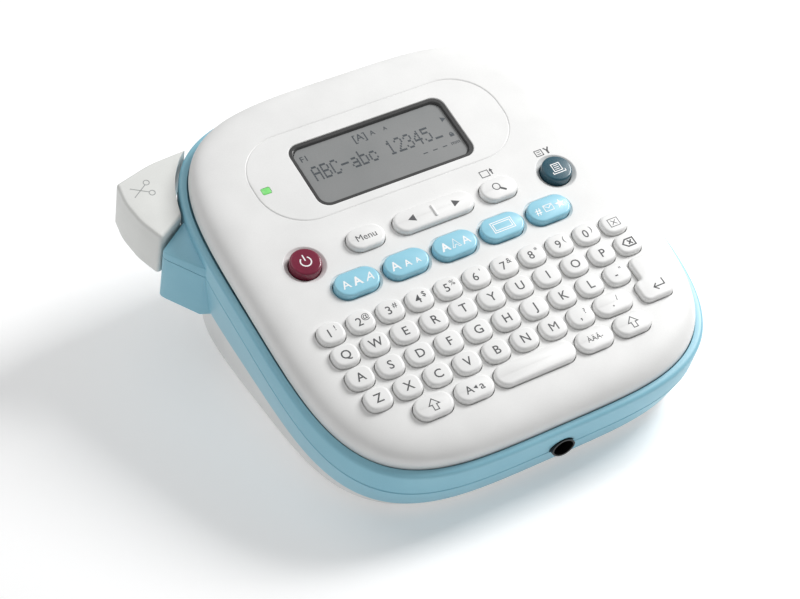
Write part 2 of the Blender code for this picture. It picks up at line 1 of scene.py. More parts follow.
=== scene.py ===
"""A desktop label maker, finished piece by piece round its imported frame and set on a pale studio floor.

Shapes are drawn in millimetres in one of two frames: BODY stands on the table, and PANEL lies in the
flat of the sloping top, with its own X to the right, Y up the slope and Z out of the panel.
"""

import json
import math

import bmesh
import bpy
from mathutils import Matrix, Vector

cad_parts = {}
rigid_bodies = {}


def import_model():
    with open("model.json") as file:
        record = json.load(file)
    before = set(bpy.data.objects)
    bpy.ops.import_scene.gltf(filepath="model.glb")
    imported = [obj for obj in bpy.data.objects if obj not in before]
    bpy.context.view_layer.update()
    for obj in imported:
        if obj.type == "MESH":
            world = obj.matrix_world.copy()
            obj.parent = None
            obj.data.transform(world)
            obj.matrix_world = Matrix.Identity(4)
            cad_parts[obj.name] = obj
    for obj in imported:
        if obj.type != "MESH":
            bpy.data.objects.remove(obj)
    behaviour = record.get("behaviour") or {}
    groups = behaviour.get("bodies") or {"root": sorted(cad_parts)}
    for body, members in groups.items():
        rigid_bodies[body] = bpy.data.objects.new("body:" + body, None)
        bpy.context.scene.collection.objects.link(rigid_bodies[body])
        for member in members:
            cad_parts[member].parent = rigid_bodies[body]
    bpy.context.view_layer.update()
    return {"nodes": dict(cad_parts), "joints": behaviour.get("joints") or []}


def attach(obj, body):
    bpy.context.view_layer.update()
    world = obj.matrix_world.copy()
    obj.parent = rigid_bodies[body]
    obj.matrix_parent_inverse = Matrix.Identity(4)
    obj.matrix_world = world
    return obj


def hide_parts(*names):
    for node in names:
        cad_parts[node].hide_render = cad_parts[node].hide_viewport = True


for left_over in list(bpy.data.objects):
    bpy.data.objects.remove(left_over, do_unlink=True)
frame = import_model()

# --- Back cover ---------------------------------------------------------------------------------------
# The white tub that closes the machine underneath, injection moulded in ABS.  Its rim shows as a strip
# below the blue case, deep at the back and thin at the front, because the joint slopes with the machine.
MM = 0.001
joints = {joint["name"]: joint for joint in frame["joints"]}
up_slope, normal = (Vector(joints[name]["axis"]) for name in ("cursor_key_rock", "tape_reel_spin"))
turn = Matrix((up_slope.cross(normal), up_slope, normal)).transposed()
rocker_pivot = Vector((0.3, 7.6, -4.0))
middle = Vector(joints["cursor_key_rock"]["pos_m"]) - turn @ rocker_pivot * MM
PANEL = Matrix.Translation(middle) @ turn.to_4x4() @ Matrix.Scale(MM, 4)
BODY = Matrix.Translation((middle.x, middle.y, 0)) @ Matrix.Scale(MM, 4)
ROUND = 192                     # points round the body's outline


def colour(code):
    """An sRGB hex value as the linear colour that a shader takes."""
    parts = [int(code[i:i + 2], 16) / 255 for i in (0, 2, 4)]
    return [p / 12.92 if p <= 0.04045 else ((p + 0.055) / 1.055) ** 2.4 for p in parts] + [1.0]


def add_node(tree, kind, inputs, **settings):
    """A shader node with its settings; each input is given a value or is linked to a socket."""
    node = tree.nodes.new("ShaderNode" + kind)
    for name, value in settings.items():
        setattr(node, name, value)
    for name, value in inputs.items():
        if isinstance(value, bpy.types.NodeSocket):
            tree.links.new(value, node.inputs[name])
        else:
            node.inputs[name].default_value = value
    return node


def finish_of(name, light, dark, roughness, grain, relief, metallic=0.0, coat=0.0, patch=14.0,
              stretch=(1, 1, 1)):
    """A finish with a fine grain and a faint drift of tone; grain, relief and patch are millimetres."""
    made = bpy.data.materials.new(name)
    made.use_nodes = True
    tree = made.node_tree
    shader = tree.nodes["Principled BSDF"]
    place = add_node(tree, "TexCoord", {})
    stretched = add_node(tree, "Mapping", {"Vector": place.outputs["Object"], "Scale": stretch})
    fine = add_node(tree, "TexNoise", {"Vector": stretched.outputs[0], "Scale": 1 / (grain * MM),
                                       "Detail": 3.0, "Roughness": 0.6})
    broad = add_node(tree, "TexNoise", {"Vector": stretched.outputs[0], "Scale": 1 / (patch * MM),
                                        "Detail": 2.0})
    drift = add_node(tree, "MapRange", {"Value": broad.outputs[0], "From Min": 0.3, "From Max": 0.7})
    speck = add_node(tree, "MapRange", {"Value": fine.outputs[0], "From Min": 0.3, "From Max": 0.7,
                                        "To Min": -0.25, "To Max": 0.25})
    tone = add_node(tree, "Math", {0: drift.outputs[0], 1: speck.outputs[0]}, operation="ADD", use_clamp=True)
    mixed = add_node(tree, "Mix", {0: tone.outputs[0], 6: colour(light), 7: colour(dark)}, data_type="RGBA")
    sheen = add_node(tree, "MapRange", {"Value": fine.outputs[0], "To Min": roughness * 0.85,
                                        "To Max": roughness * 1.15})
    bump = add_node(tree, "Bump", {"Height": fine.outputs[0], "Distance": relief * MM})
    tree.links.new(mixed.outputs[2], shader.inputs["Base Color"])
    tree.links.new(sheen.outputs[0], shader.inputs["Roughness"])
    tree.links.new(bump.outputs[0], shader.inputs["Normal"])
    shader.inputs["Metallic"].default_value = metallic
    shader.inputs["Coat Weight"].default_value = coat
    shader.inputs["Coat Roughness"].default_value = 0.12
    return made


def squircle(a, b, power=4.0, count=ROUND):
    """Points of |x/a|^n + |y/b|^n = 1, anticlockwise."""
    points = []
    for step in range(count):
        angle = 2 * math.pi * (step + 0.5) / count
        x, y = math.cos(angle), math.sin(angle)
        points.append((a * math.copysign(abs(x) ** (2 / power), x),
                       b * math.copysign(abs(y) ** (2 / power), y)))
    return points


def leaning(a, b, y, z, tilt=0.0, power=3.9):
    """A squircle in BODY, with b measured along a slope."""
    return [(px, y + py * math.cos(tilt), z + py * math.sin(tilt)) for px, py in squircle(a, b, power)]


def loft(rings, loop=False, bm=None):
    """Quads between rings of points, closed by two caps or joined end to end."""
    bm = bm or bmesh.new()
    rows = [[bm.verts.new(point) for point in ring] for ring in rings]
    for low, high in zip(rows, rows[1:] + rows[:1] if loop else rows[1:]):
        for i in range(len(low)):
            j = (i + 1) % len(low)
            bm.faces.new((low[i], low[j], high[j], high[i]))
    if not loop:
        bm.faces.new(rows[0][::-1])
        bm.faces.new(rows[-1])
    return bm


def shade(mesh, crease):
    mesh.shade_smooth()
    mesh.set_sharp_from_angle(angle=math.radians(crease))


def piece(name, bm, place, finish, crease=38):
    """A mesh in millimetres becomes a named object in metres, smooth up to a crease angle."""
    bmesh.ops.recalc_face_normals(bm, faces=bm.faces)
    bm.transform(place)
    mesh = bpy.data.meshes.new(name)
    bm.to_mesh(mesh)
    bm.free()
    mesh.materials.append(finish)
    shade(mesh, crease)
    made = bpy.data.objects.new(name, mesh)
    bpy.context.scene.collection.objects.link(made)
    return made


def carve(target, bm, place, operation="DIFFERENCE", crease=38):
    """Cuts a shape out of a piece, or joins it on, at once."""
    tool = piece("tool", bm, place, target.data.materials[0])
    step = target.modifiers.new("Carve", "BOOLEAN")
    step.object, step.operation, step.solver = tool, operation, "EXACT"
    graph = bpy.context.evaluated_depsgraph_get()
    result = bpy.data.meshes.new_from_object(target.evaluated_get(graph))
    target.modifiers.clear()
    target.data = result
    result.name = target.name
    shade(result, crease)
    bpy.data.objects.remove(tool, do_unlink=True)


def box(size, at, bm=None):
    bm = bm or bmesh.new()
    bmesh.ops.create_cube(bm, size=1.0, matrix=Matrix.Translation(at) @ Matrix.Diagonal((*size, 1)))
    return bm


BASE_TILT = math.radians(10.1)
rim = dict(y=5.9, tilt=BASE_TILT)
# white ABS from a spark-eroded mould: matt, and near enough plain from a metre away.  The real grain is
# 0.1 mm, too fine to show, so it is drawn at 0.45 mm and very low.
white_abs = finish_of("moulded_white_abs", "ECECEB", "E6E6E5", 0.46, 0.45, 0.012)
tub = piece("back_cover_tub", loft([
    leaning(64.8, 67.0, 5.6, 3.1), leaning(66.2, 69.3, z=15.2, **rim), leaning(66.4, 69.5, z=15.9, **rim),
    leaning(67.7, 70.8, z=15.95, **rim), leaning(68.0, 71.1, z=15.7, **rim), leaning(66.8, 69.0, 5.6, 3.0),
    leaning(66.5, 68.7, 5.6, 2.2), leaning(66.0, 68.2, 5.6, 1.7),
    leaning(65.2, 67.4, 5.6, 1.5)]), BODY, white_abs)
carve(tub, box((16.8, 9.0, 8.8), (0, 75.0, 22.6)), BODY)
# a shallow panel for a rating plate and two finger grooves, moulded in the underside
under = box((52.0, 26.0, 1.0), (0, 4.0, 1.3))
for side in (-1, 1):
    for row in range(4):
        box((14.0, 1.1, 1.0), (side * 46.0, 26.0 + 2.6 * row, 1.4), under)
carve(tub, under, BODY)
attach(tub, "cover")
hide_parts("back_cover")

# --- Latch and feet -------------------------------------------------------------------------------------
# The latch is a sprung tongue of the cover with raised grip lines, pressed with a fingertip from behind.
# The four feet are black rubber pads, moulded with a soft edge and glued into the corners.
tongue = box((16.0, 1.6, 8.0), (0, 0, 0))
bmesh.ops.bevel(tongue, geom=tongue.edges, offset=0.35, segments=2, affect="EDGES")
for row in range(4):
    box((12.0, 0.8, 0.7), (0, 0.9, -2.4 + 1.6 * row), tongue)
latch = piece("latch_tongue", tongue, BODY @ Matrix.Translation((0, 73.6, 22.4)), white_abs)
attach(latch, "latch")
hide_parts("cover_latch")

# black rubber: matt and slightly bloomed, so it reads as very dark grey
foot_rubber = finish_of("moulded_black_rubber", "232323", "191919", 0.85, 0.5, 0.03)
for side, side_name in ((-1, "left"), (1, "right")):
    for end, end_name in ((-1, "front"), (1, "back")):
        rings = [[(x, y, z) for x, y in squircle(radius, radius, 2.0, 40)]
                 for radius, z in ((4.4, 0.0), (4.9, 0.25), (5.0, 0.6), (5.0, 1.2))]
        pad = piece("foot_pad_%s_%s" % (end_name, side_name), loft(rings),
                    BODY @ Matrix.Translation((side * 48.0, 5.6 + end * 52.0, 0)), foot_rubber)
        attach(pad, "cover")
        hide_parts("foot_%s_%s" % (end_name, side_name))

# --- Blue case ------------------------------------------------------------------------------------------
# Two light blue ABS mouldings meet in a thin shut line that runs parallel to the panel.  The upper one ends
# in a narrow ledge round the white top.  The guard beside the tape exit is moulded on, half on each.
blue_abs = finish_of("moulded_blue_abs", "92C9DB", "8CC4D7", 0.36, 0.45, 0.010)
CASE_A, CASE_B = 71.2, 76.4
SEAM, SEAM_HALF = -16.15, 0.15
LEDGE_SINK = 0.02


def in_panel(inset, w, sink=0.0):
    """The case's outline in PANEL, drawn in by an inset, at a level that sinks towards the back."""
    return [(x, y, w - sink * y) for x, y in squircle(CASE_A - inset, CASE_B - inset)]


def panel_ring_in_body(inset, w):
    to_body = BODY.inverted() @ PANEL
    return [to_body @ Vector(point) for point in in_panel(inset, w)]


def guard(low, high, edge=0.0):
    """The tape guard between two levels given as functions of x; edge softens its upper rim."""
    plan = [(-66.0, 46.0), (-71.0, 42.9), (-78.9, 37.9), (-79.6, 37.2), (-79.6, 36.2), (-78.8, 34.8),
            (-71.4, 24.7), (-66.0, 22.6)]
    levels = [(0.0, low, 0.0), (0.0, high, -edge), (-0.3 * edge, high, -0.3 * edge), (-edge, high, 0.0)]
    return loft([[(x, y, level(x) + lift) for x, y in offset(plan, grow)] for grow, level, lift in
                 (levels if edge else levels[:2])])


def offset(points, distance, closed=True):
    """A line moved to its right as it runs, with mitred corners: outwards from an anticlockwise outline."""
    moved, last = [], len(points) - 1
    for i, (x, y) in enumerate(points):
        sides = []
        if closed or i > 0:
            sides.append((points[i - 1], (x, y)))
        if closed or i < last:
            sides.append(((x, y), points[(i + 1) % len(points)]))
        across = Vector((0, 0))
        for (x0, y0), (x1, y1) in sides:
            across += Vector((y1 - y0, x0 - x1)).normalized()
        shift = across * (distance * len(sides) / across.length_squared)
        moved.append((x + shift.x, y + shift.y))
    return moved


lower = piece("case_lower", loft([
    panel_ring_in_body(0.2, SEAM - SEAM_HALF), panel_ring_in_body(0.0, SEAM - SEAM_HALF - 0.2),
    leaning(69.1, 72.6, z=17.3, **rim), leaning(68.95, 72.3, z=16.75, **rim),
    leaning(68.5, 71.8, z=16.4, **rim),
    leaning(67.0, 70.4, z=16.3, **rim), panel_ring_in_body(2.0, SEAM - SEAM_HALF)], loop=True),
    BODY, blue_abs)
carve(lower, guard(lambda x: -36.9, lambda x: SEAM - SEAM_HALF), PANEL, "UNION")
PIN_V, PIN_W, PIN_BORE = 47.2, -20.4, 1.8


def pin_bore(bm, u, depth):
    """Adds a bore along X for the lever's pin, about a middle u."""
    bmesh.ops.create_cone(bm, cap_ends=True, segments=24, radius1=PIN_BORE, radius2=PIN_BORE, depth=depth,
                          matrix=Matrix.Translation((u, PIN_V, PIN_W)) @ Matrix.Rotation(math.pi / 2, 4, "Y"))


slots = box((14.0, 3.0, 14.2), (-72.0, 39.7, -29.0))
pin_bore(slots, -70.0, 16.0)
carve(lower, slots, PANEL)

upper = piece("case_upper", loft([
    in_panel(0.2, SEAM + SEAM_HALF), in_panel(0.0, SEAM + SEAM_HALF + 0.2), in_panel(0.0, -9.2, LEDGE_SINK),
    in_panel(0.12, -8.7, LEDGE_SINK), in_panel(0.4, -8.3, LEDGE_SINK), in_panel(0.8, -8.1, LEDGE_SINK),
    in_panel(1.3, -8.02, LEDGE_SINK), in_panel(2.35, -8.05, LEDGE_SINK), in_panel(2.5, -8.3, LEDGE_SINK),
    in_panel(2.55, -10.8, LEDGE_SINK), in_panel(4.9, -11.2, LEDGE_SINK), in_panel(4.9, -12.4, LEDGE_SINK),
    in_panel(2.2, -13.6, LEDGE_SINK), in_panel(2.0, SEAM + SEAM_HALF)], loop=True), PANEL, blue_abs)
carve(upper, guard(lambda x: SEAM + SEAM_HALF, lambda x: -13.1 + 0.12 * (x + 79.6), 0.5), PANEL, "UNION")

# The mouth of the power inlet straddles the shut line: an eye-shaped dish that narrows to a black sleeve.
INLET_Y, INLET_Z = -68.9, 12.8


def inlet_rings(sizes):
    return [[(x, INLET_Y + y, INLET_Z + z) for x, z in squircle(a, b, 1.8, 48)] for y, a, b in sizes]


for half in (lower, upper):
    mouth = inlet_rings(((-8.0, 5.3, 4.1), (-3.4, 5.2, 4.0), (-2.2, 4.5, 3.4), (6.0, 4.3, 3.2)))
    carve(half, loft(mouth), BODY)
    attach(half, "case")
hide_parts("lower_case")
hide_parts("upper_case")
# black ABS inside the inlet and jack: plain and slightly glossy, dark enough to read as a hole
black_abs = finish_of("moulded_black_abs", "161616", "0E0E0E", 0.35, 0.5, 0.01)
sleeve = piece("inlet_sleeve", loft(inlet_rings(((-1.6, 4.2, 3.1), (5.8, 4.2, 3.1), (5.8, 3.4, 2.5),
                                                 (-1.6, 3.6, 2.6))), loop=True), BODY, black_abs)
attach(sleeve, "case")

# --- Inside ---------------------------------------------------------------------------------------------
# What the lifted cover shows, and what works the tape: the frame, six cells with their contacts, the
# cassette and its spools, the head, motor and gears, and the board above them, each in its own stock.
inside = {
    # glass-filled ABS: dull dark grey with a slight mottle
    "chassis": finish_of("moulded_grey_abs", "4B4D4F", "434547", 0.55, 0.8, 0.03),
    # fibreglass laminate under green solder mask: satin, with the weave just visible
    "main_board": finish_of("solder_mask_laminate", "1E6B3C", "17592F", 0.38, 0.6, 0.02, coat=0.3, patch=3.0),
    # silicone keypad sheet: soft, slightly translucent grey
    "keypad_sheet": finish_of("moulded_silicone", "C6C6C3", "BCBCB9", 0.62, 0.7, 0.02),
    "dc_jack": black_abs,
    # cassette shells: mid grey polystyrene with a soft sheen
    "cassette_case": finish_of("moulded_polystyrene", "6C6E72", "64666A", 0.40, 0.6, 0.012),
    # polyester tape wound on a core: pale, with the layers' edges in fine bands
    "tape_spool": finish_of("wound_polyester_tape", "F0F0EC", "DADAD4", 0.32, 0.5, 0.03, patch=2.0),
    # pressed steel: bright, with the faint lines of the strip mill
    "feed_motor": finish_of("drawn_steel", "C9C9CA", "B7B8BA", 0.28, 0.3, 0.004, 1.0, stretch=(0.08, 1, 1)),
    # extruded aluminium heat sink of the head: pale satin metal
    "print_head": finish_of("extruded_aluminium", "D9DADC", "CBCCCF", 0.36, 0.4, 0.006, 1.0,
                            stretch=(0.1, 1, 1)),
    # natural nylon gears: warm white and slightly waxy
    "platen_gear": finish_of("moulded_nylon", "EDEAE0", "E3E0D4", 0.42, 0.6, 0.01),
    "platen_roller": foot_rubber,
    # turned brass pinion: yellow metal with fine turning lines
    "motor_pinion": finish_of("turned_brass", "CFA758", "BD9548", 0.26, 0.3, 0.004, 1.0, stretch=(1, 1, 0.1)),
    # printed film shrunk over each cell: dark blue and glossy
    "battery_1": finish_of("printed_shrink_sleeve", "24356F", "1D2B5E", 0.22, 0.9, 0.006, coat=0.6,
                           patch=6.0),
}
shared = {"cassette_lid": "cassette_case", "ribbon_spool": "tape_spool", "idler_gear": "platen_gear",
          "battery_contact_left": "feed_motor", "battery_contact_right": "feed_motor",
          "lever_pin": "feed_motor", "cutter_blade": "feed_motor", "lever_spring": "feed_motor"}
shared.update({"battery_%d" % number: "battery_1" for number in range(2, 7)})
inside.update({node: inside[like] for node, like in shared.items()})
for node, finish in inside.items():
    for place in frame["nodes"][node].material_slots:
        place.material = finish

# --- Cutter lever ---------------------------------------------------------------------------------------
# A broad paddle in pale grey-white ABS, moulded as an open shell with a hub for the pin.  It wraps round
# the back left corner, and is pushed down by the palm to cut the tape.
pale_abs = finish_of("moulded_pale_grey_abs", "E7E8E5", "E1E2DF", 0.48, 0.5, 0.012)


def rounded(corners, steps=6):
    """A polygon of (x, y, radius) corners, anticlockwise, with each corner turned on an arc."""
    points = []
    for i, (x, y, radius) in enumerate(corners):
        here = Vector((x, y))
        to_last, to_next = (Vector(corners[j][:2]) - here for j in (i - 1, (i + 1) % len(corners)))
        half = to_last.angle(to_next) / 2
        bisector = (to_last.normalized() + to_next.normalized()).normalized()
        centre = here + bisector * (radius / math.sin(half))
        reach = radius / math.tan(half)
        start, end = (here + way.normalized() * reach - centre for way in (to_last, to_next))
        points += [tuple(centre + start.lerp(end, step / steps).normalized() * radius)
                   for step in range(steps + 1)]
    return points


LEVER_TOP, PADDLE_FOOT = -8.6, -28.2
paddle_plan = rounded([(-62.0, 49.1, 1.4), (-54.0, 68.4, 1.4), (-70.1, 67.4, 30.0), (-83.5, 63.9, 1.6),
                       (-84.4, 56.0, 20.0), (-83.0, 47.0, 16.0), (-79.8, 38.8, 1.3)])
edge = [(-1.2 * (1 - math.cos(a)), LEVER_TOP - 1.2 * (1 - math.sin(a)))
        for a in (math.pi / 2 * step / 5 for step in range(6))]
rings = [[(x, y, PADDLE_FOOT) for x, y in offset(paddle_plan, -0.7)],
         [(x, y, PADDLE_FOOT + 0.6) for x, y in paddle_plan]]
rings += [[(x, y, z) for x, y in offset(paddle_plan, grow)] for grow, z in edge]
paddle = piece("lever_paddle", loft(rings), PANEL, pale_abs)
PADDLE_GAP = 0.9                # clearance between the paddle and the case
case_wall = squircle(CASE_A + PADDLE_GAP, CASE_B + PADDLE_GAP)
carve(paddle, loft([[(x, y, w) for x, y in case_wall] for w in (-40.0, 4.0)]), PANEL)
hollow = box((8.0, 11.0, 12.0), (-77.4, 56.0, -26.0))
pin_bore(hollow, -61.0, 40.0)
carve(paddle, hollow, PANEL)
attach(paddle, "cutter")
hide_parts("cutter_lever")

# A pair of scissors is pad-printed on the paddle in mid grey: thin lines, barely raised.
# pad-printing ink: flat and dry, a little uneven at its edges
grey_ink = finish_of("pad_print_grey_ink", "A9ABAA", "A2A4A3", 0.6, 0.3, 0.004)
INK = 0.03


def stroke(bm, points, width, low, closed=False):
    """A drawn line as a thin flat bar, standing INK proud of a level."""
    right, left = (offset(points, way * width / 2, closed) for way in (1, -1))
    if closed:
        loft([[(x, y, z) for x, y in side] for side, z in
              ((right, low - INK), (right, low + INK), (left, low + INK), (left, low - INK))], True, bm)
    else:
        loft([[(x, y, z) for x, y in right + left[::-1]] for z in (low - INK, low + INK)], bm=bm)


def arc(centre, radius, start=0.0, end=360.0, steps=24):
    """Points on a circle between two angles in degrees; a whole circle leaves out its last point."""
    count = steps + (end - start < 360)
    turns = [math.radians(start + (end - start) * step / steps) for step in range(count)]
    return [(centre[0] + radius * math.cos(a), centre[1] + radius * math.sin(a)) for a in turns]


scissors = bmesh.new()
for side in (-1, 1):
    stroke(scissors, [(-80.4, 58.4 - side * 1.9), (-75.3, 58.4 + side * 1.5)], 0.3, LEVER_TOP)
    stroke(scissors, arc((-74.5, 58.4 + side * 2.2), 0.95), 0.3, LEVER_TOP, True)
icon = piece("lever_icon", scissors, PANEL, grey_ink)
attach(icon, "cutter")

# --- Display --------------------------------------------------------------------------------------------
# A reflective dot-matrix LCD behind a clear window whose border is printed dark grey on the back.  The
# window lies a little below the cover, and the grey of the cell shows nearly a millimetre deeper.
DISPLAY_AT = Vector((-2.1, 36.8))
BORDER_TOP, CELL_TOP = -0.35, -1.3
# printed border under clear acrylic: near black, with the window's gloss over it
border_print = finish_of("printed_acrylic_border", "434343", "3C3C3C", 0.30, 0.6, 0.003, coat=0.4)
# reflective liquid crystal: even mid grey with a faint cool drift, and the polariser's satin gloss
liquid_crystal = finish_of("liquid_crystal_cell", "8E8F8F", "868888", 0.34, 0.4, 0.002, coat=0.25, patch=20.0)
segment_ink = finish_of("liquid_crystal_segments", "454B50", "4B5156", 0.4, 0.4, 0.002)


def window(inset, radius=4.2, width=58.2, height=26.3):
    """The window's outline about the middle of the display, drawn in by an inset."""
    x, y = width / 2 - inset, height / 2 - inset
    return [(px + DISPLAY_AT.x, py + DISPLAY_AT.y) for px, py in
            rounded([(x, -y, radius), (x, y, radius), (-x, y, radius), (-x, -y, radius)], 8)]


border_levels = ((0.1, 4.1, -2.4), (0.1, 4.1, BORDER_TOP - 0.1), (0.25, 4.0, BORDER_TOP),
                 (1.05, 3.4, BORDER_TOP), (1.2, 3.3, BORDER_TOP - 0.1), (1.55, 3.0, CELL_TOP), (1.55, 3.0, -2.4))
border = piece("display_border", loft([[(x, y, z) for x, y in window(inset, radius)]
                                       for inset, radius, z in border_levels], True), PANEL, border_print, 30)
cell = piece("display_cell", loft([[(x, y, z) for x, y in window(1.3)] for z in (-2.2, CELL_TOP - 0.02)]),
             PANEL, liquid_crystal)
for part, store in ((border, "display_lens"), (cell, "display_glass")):
    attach(part, "case")
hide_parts("display_window")
for place in frame["nodes"]["display_module"].material_slots:
    place.material = liquid_crystal

# The lit segments: one line of 5 by 7 dot characters, a row of size marks above and a length mark below.
DOTS = {
    "A": ".###. #...# #...# ##### #...# #...# #...#", "B": "####. #...# #...# ####. #...# #...# ####.",
    "C": ".###. #...# #.... #.... #.... #...# .###.", "-": "..... ..... ..... ##### ..... ..... .....",
    "a": "..... ..... .###. ....# .#### #...# .####", "b": "#.... #.... ####. #...# #...# #...# ####.",
    "c": "..... ..... .###. #...# #.... #...# .###.", "1": "..#.. .##.. ..#.. ..#.. ..#.. ..#.. .###.",
    "2": ".###. #...# ....# ...#. ..#.. .#... #####", "3": ".###. #...# ....# ..##. ....# #...# .###.",
    "4": "...#. ..##. .#.#. #..#. ##### ...#. ...#.", "5": "##### #.... ####. ....# ....# #...# .###.",
    "_": "..... ..... ..... ..... ..... ..... #####",
}
segments = bmesh.new()
DOT_X, DOT_Y, LETTER_STEP = 0.56, 0.86, 3.42
for place, letter in enumerate("ABC-abc 12345_"):
    for row, line in enumerate(DOTS.get(letter, "").split()):
        for column, dot in enumerate(line):
            if dot == "#":
                at = (-24.6 + LETTER_STEP * place + DOT_X * column + DISPLAY_AT.x,
                      3.3 - DOT_Y * row + DISPLAY_AT.y, CELL_TOP)
                box((DOT_X * 0.86, DOT_Y * 0.86, 0.04), at, segments)


HALF_CAPITAL = 0.36             # half the height of a capital, as a part of the face's size


def lettering(bm, text, size, at, level, slant=0.0, weight=0.0):
    """Letters of a plain sans face as thin flat prisms, centred at a point and standing INK proud."""
    curve = bpy.data.curves.new("letters", "FONT")
    curve.body, curve.size, curve.align_x, curve.align_y = text, size, "CENTER", "BOTTOM_BASELINE"
    curve.shear, curve.offset, curve.extrude, curve.resolution_u = slant, weight, INK, 3
    holder = bpy.data.objects.new("letters", curve)
    bpy.context.scene.collection.objects.link(holder)
    mesh = bpy.data.meshes.new_from_object(holder.evaluated_get(bpy.context.evaluated_depsgraph_get()))
    mesh.transform(Matrix.Translation((at[0], at[1] - HALF_CAPITAL * size, level)))
    bm.from_mesh(mesh)
    bpy.data.objects.remove(holder)
    bpy.data.curves.remove(curve)
    bpy.data.meshes.remove(mesh)


u, v = DISPLAY_AT
lettering(segments, "F1", 3.2, (u - 24.6, v + 7.6), CELL_TOP)
lettering(segments, "[A]", 3.9, (u - 3.6, v + 8.6), CELL_TOP)
lettering(segments, "A", 2.7, (u + 1.2, v + 8.6), CELL_TOP)
lettering(segments, "A", 2.0, (u + 6.0, v + 8.6), CELL_TOP)
lettering(segments, "mm", 2.2, (u + 24.9, v - 5.6), CELL_TOP)
for dash in range(3):
    stroke(segments, [(u + 12.6 + 3.7 * dash, v - 5.9), (u + 14.2 + 3.7 * dash, v - 5.9)], 0.35, CELL_TOP)
loft([[(u + x, v + y, z) for x, y in ((25.2, 3.4), (27.0, 4.4), (25.2, 5.4))]
      for z in (CELL_TOP - INK, CELL_TOP + INK)], bm=segments)
box((1.5, 1.1, 2 * INK), (u + 25.4, v - 2.6, CELL_TOP), segments)
stroke(segments, arc((u + 25.4, v - 2.0), 0.5, 0, 180, 8), 0.25, CELL_TOP)
marks = piece("display_segments", segments, PANEL, segment_ink)
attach(marks, "case")

# --- Status light ---------------------------------------------------------------------------------------
# A green light pipe in clear tinted acrylic, its end flush with the cover, breaking the display's groove.
LED_AT = (-44.5, 36.8)
# tinted acrylic lit from behind: glossy and a little brighter than its surroundings
light_pipe = finish_of("tinted_acrylic_pipe", "86DE80", "7AD675", 0.18, 0.6, 0.002, coat=0.5, patch=1.5)
shader = light_pipe.node_tree.nodes["Principled BSDF"]
shader.inputs["Emission Color"].default_value = colour("86DE80")
shader.inputs["Emission Strength"].default_value = 0.12


def block(width, height, radius, at):
    """A rounded rectangle about a point."""
    x, y = width / 2, height / 2
    return [(px + at[0], py + at[1]) for px, py in
            rounded([(x, -y, radius), (x, y, radius), (-x, y, radius), (-x, -y, radius)], 4)]


pipe = piece("status_light_pipe", loft([[(x, y, z) for x, y in offset(block(3.1, 2.5, 0.5, LED_AT), grow)]
                                        for grow, z in ((0, -3.8), (0, -0.2), (-0.1, 0.0), (-0.3, 0.08))]),
             PANEL, light_pipe)
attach(pipe, "case")
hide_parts("status_light")

# --- Keys -----------------------------------------------------------------------------------------------
# Each key is a small ABS moulding with a flat printed top and soft shoulders, standing on the silicone
# sheet.  White letter keys, blue function keys, a maroon power button and a petrol print button.
KEY_PITCH, ROW_PITCH, FIRST_U, FIRST_V = 10.4, 8.75, -52.0, -19.9
KEY_TOP, KEY_FOOT = 1.8, -4.4
key_abs = finish_of("moulded_key_abs", "EFEFEE", "E9E9E8", 0.40, 0.5, 0.008)
blue_key_abs = finish_of("moulded_blue_key_abs", "9AD3E6", "94CFE3", 0.32, 0.5, 0.006, coat=0.15)
maroon_abs = finish_of("moulded_maroon_abs", "7C1B39", "711733", 0.26, 0.5, 0.005, coat=0.25, patch=5.0)
petrol_abs = finish_of("moulded_petrol_abs", "275564", "214C5B", 0.28, 0.5, 0.005, coat=0.25, patch=5.0)
# legends are pad-printed: a dry dark grey on white keys and a dense white on coloured ones
dark_ink = finish_of("pad_print_dark_ink", "4C4D4F", "545557", 0.6, 0.3, 0.004)
white_ink = finish_of("pad_print_white_ink", "FCFCFC", "F6F6F6", 0.5, 0.3, 0.004)


def small_key():
    return squircle(4.4, 3.85, 2.6, 56)


def bar_key(width, height):
    """A key with round ends."""
    return rounded([(x * width / 2, y * height / 2, height / 2 - 0.01) for x, y in
                    ((1, -1), (1, 1), (-1, 1), (-1, -1))], 12)


def round_key():
    return squircle(5.1, 5.1, 2.0, 64)


def enter_key():
    """The tall key: a narrow upper leg on a wider foot."""
    return rounded([(-7.4, -4.0, 2.5), (4.3, -4.0, 2.6), (4.3, 12.4, 2.4), (-4.2, 12.4, 2.4),
                    (-4.2, 4.0, 0.8), (-7.4, 4.0, 2.2)])


def shoulders(foot, across, down, top=KEY_TOP, steps=6):
    """Levels of a key from its foot to its top, as (growth, level), with a soft turn at the top edge."""
    turns = [math.pi / 2 * step / steps for step in range(steps + 1)]
    return [(0.0, foot)] + [(-across * (1 - math.cos(a)), top - down * (1 - math.sin(a))) for a in turns]


def key_solid(bm, outline, at, levels):
    loft([[(x + at[0], y + at[1], z) for x, y in offset(outline, grow)] for grow, z in levels], bm=bm)


def row_places(row, count, shift=0.0):
    return [(FIRST_U + shift + KEY_PITCH * i, FIRST_V - ROW_PITCH * row) for i in range(count)]


